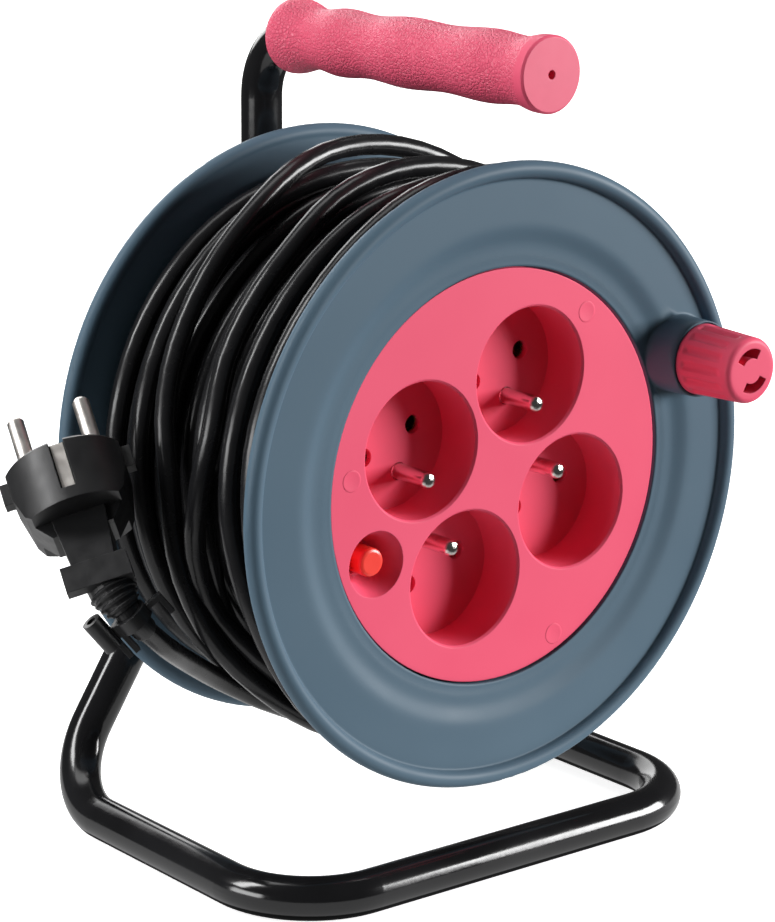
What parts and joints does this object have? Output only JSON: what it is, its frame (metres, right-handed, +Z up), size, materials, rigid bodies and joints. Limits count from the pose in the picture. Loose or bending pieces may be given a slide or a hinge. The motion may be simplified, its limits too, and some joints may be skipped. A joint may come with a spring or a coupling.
{
  "type": "extension cord reel",
  "caption": "Hand cord reel with earthed sockets in a round panel, winding knob, reset button, wound cord with plug, and a bent tube stand with a moulded grip",
  "frame": {"origin": "floor level under the middle of the object without its cord, on the reel axis' vertical plane", "axes": "X to the right seen from the sockets, Y from the sockets along the reel axis to the stand, Z up"},
  "size_m": [0.2147, 0.1512, 0.2437],
  "materials": {
    "black_paint": "gloss black paint on bent steel tube",
    "pink_plastic": "satin moulded plastic, fine grain on the grip",
    "blue_plastic": "satin moulded plastic",
    "zinc_steel": "bright zinc plated steel",
    "pale_plastic": "natural moulded plastic",
    "nickel": "polished nickel plated brass",
    "brass": "plain stamped brass",
    "cord_sheath": "satin soft plastic sheath",
    "black_plastic": "satin moulded plastic",
    "red_plastic": "smooth moulded plastic",
    "brown_lead": "smooth insulation",
    "blue_lead": "smooth insulation",
    "green_lead": "smooth insulation"
  },
  "bodies": {
    "frame": {"base_frame": "black_paint", "handle_tube": "black_paint", "handle_grip": "pink_plastic", "hub_plate": "black_paint", "stub_axle": "zinc_steel", "thrust_washer": "pale_plastic", "retaining_washer": "zinc_steel", "axle_screw": "zinc_steel", "cord_tail": "cord_sheath", "plug_body": "black_plastic", "plug_pins": "nickel", "plug_earth_strips": "nickel", "plug_strain_relief": "black_plastic", "cord_clip": "black_plastic"},
    "drum": {"front_flange": "blue_plastic", "rear_flange": "blue_plastic", "drum_core": "blue_plastic", "hub_bush": "pale_plastic", "front_screws": "zinc_steel", "rear_screws": "zinc_steel", "socket_panel": "pink_plastic", "earth_pins": "nickel", "live_bar": "brass", "neutral_bar": "brass", "earth_bar": "brass", "contact_carrier": "pale_plastic", "carrier_screws": "zinc_steel", "thermal_breaker": "black_plastic", "reset_spring": "zinc_steel", "cord_gland": "cord_sheath", "cord_inner": "cord_sheath", "cord_clamp": "pale_plastic", "clamp_screws": "zinc_steel", "lead_live": "brown_lead", "lead_breaker": "brown_lead", "lead_neutral": "blue_lead", "lead_earth": "green_lead", "cord_winding": "cord_sheath"},
    "knob": {"winding_knob": "pink_plastic"},
    "button": {"reset_button": "red_plastic"}
  },
  "joints": [
    {"name": "drum_spin", "type": "hinge", "parent": "frame", "child": "drum", "pos_m": [0, 0, 0.117], "axis": [0, 1, 0], "continuous": true},
    {"name": "knob_spin", "type": "hinge", "parent": "drum", "child": "knob", "pos_m": [0.06652, -0.06, 0.14455], "axis": [0, 1, 0], "continuous": true},
    {"name": "reset_press", "type": "slide", "parent": "drum", "child": "button", "axis": [0, 1, 0], "range_m": [0, 0.0025], "stiffness_N_per_m": 60}
  ]
}
